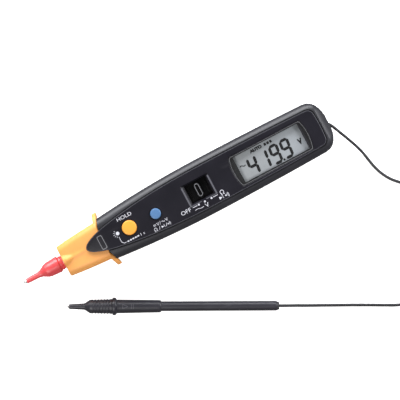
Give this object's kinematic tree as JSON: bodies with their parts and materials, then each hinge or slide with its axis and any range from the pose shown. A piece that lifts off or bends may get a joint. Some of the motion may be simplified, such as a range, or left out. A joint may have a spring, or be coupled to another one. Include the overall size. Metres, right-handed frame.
{
  "type": "pen multimeter",
  "caption": "Pen-shaped digital multimeter with a display, two push buttons, a slide switch, a capped test pin and a corded, capped second probe.",
  "frame": {"origin": "middle of the meter's footprint, on the surface that its back lies on", "axes": "+X from the test pin to the display end, +Y across the face, +Z out of the face"},
  "size_m": [0.22, 0.1211, 0.0265],
  "materials": {
    "case_plastic": "matt black ABS, fine texture",
    "panel_print": "satin black panel with light marks",
    "lens_clear": "clear polished acrylic",
    "lcd": "grey reflective liquid crystal",
    "white_plastic": "white moulded holder",
    "strip_rubber": "layered silicone strip",
    "board": "green solder mask",
    "chip": "black moulded package",
    "resistor": "blue coated",
    "blue_disc": "blue dipped coating",
    "steel": "fine brushed",
    "brass": "plain",
    "nickel": "nickel plated",
    "yellow_key": "yellow satin",
    "blue_key": "blue satin",
    "switch_black": "black satin",
    "nose_orange": "orange soft satin",
    "cap_red": "red satin",
    "lamp_clear": "clear epoxy",
    "cord_jacket": "soft black jacket",
    "probe_black": "black satin",
    "tie": "black band"
  },
  "bodies": {
    "meter": {"upper_case": "case_plastic", "lower_case": "case_plastic", "face_panel": "panel_print", "display_lens": "lens_clear", "lcd_glass": "lcd", "lcd_holder": "white_plastic", "contact_strips": "strip_rubber", "circuit_board": "board", "measuring_chip": "chip", "divider_resistors": "resistor", "surge_limiter": "blue_disc", "clock_crystal": "nickel", "buzzer": "chip", "hold_key_switch": "nickel", "select_key_switch": "nickel", "nose_guard": "nose_orange", "pin_collar": "cap_red", "test_pin": "nickel", "pin_strip": "brass", "nose_lamp": "lamp_clear", "lamp_leads": "nickel", "coin_cell": "nickel", "cell_holder": "chip", "cell_plus_contact": "brass", "cell_minus_contact": "brass", "battery_cover": "case_plastic", "cover_screw": "steel", "case_screws": "steel", "cord_bush": "cord_jacket", "cord_stop": "nickel", "cord_tail": "cord_jacket", "cord_meter_run": "cord_jacket", "cord_coil": "cord_jacket", "cord_tie": "tie", "cord_probe_run": "cord_jacket", "lead_pin": "nickel", "lead_handle": "probe_black", "lead_sleeve": "probe_black", "lead_ferrule": "brass", "lead_end_bush": "probe_black", "lead_tail": "cord_jacket"},
    "hold_key": {"hold_button": "yellow_key", "hold_plunger": "white_plastic"},
    "select_key": {"select_button": "blue_key", "select_plunger": "white_plastic"},
    "function_slide": {"switch_slide": "switch_black", "switch_wiper": "brass"},
    "red_cap": {"tip_cap": "cap_red"},
    "black_cap": {"lead_cap": "probe_black"}
  },
  "joints": [
    {"name": "hold_button_press", "type": "slide", "parent": "meter", "child": "hold_key", "axis": [0, 0, -1], "range_m": [0, 0.0008], "stiffness_N_per_m": 1500},
    {"name": "select_button_press", "type": "slide", "parent": "meter", "child": "select_key", "axis": [0, 0, -1], "range_m": [0, 0.0008], "stiffness_N_per_m": 1500},
    {"name": "function_switch_slide", "type": "slide", "parent": "meter", "child": "function_slide", "axis": [1, 0, 0], "range_m": [-0.00375, 0.00375]},
    {"name": "tip_cap_pull", "type": "slide", "parent": "meter", "child": "red_cap", "axis": [-1, 0, 0], "range_m": [0, 0.024]},
    {"name": "lead_cap_pull", "type": "slide", "parent": "meter", "child": "black_cap", "axis": [-0.8843, 0.4662, 0.0245], "range_m": [0, 0.024]}
  ]
}
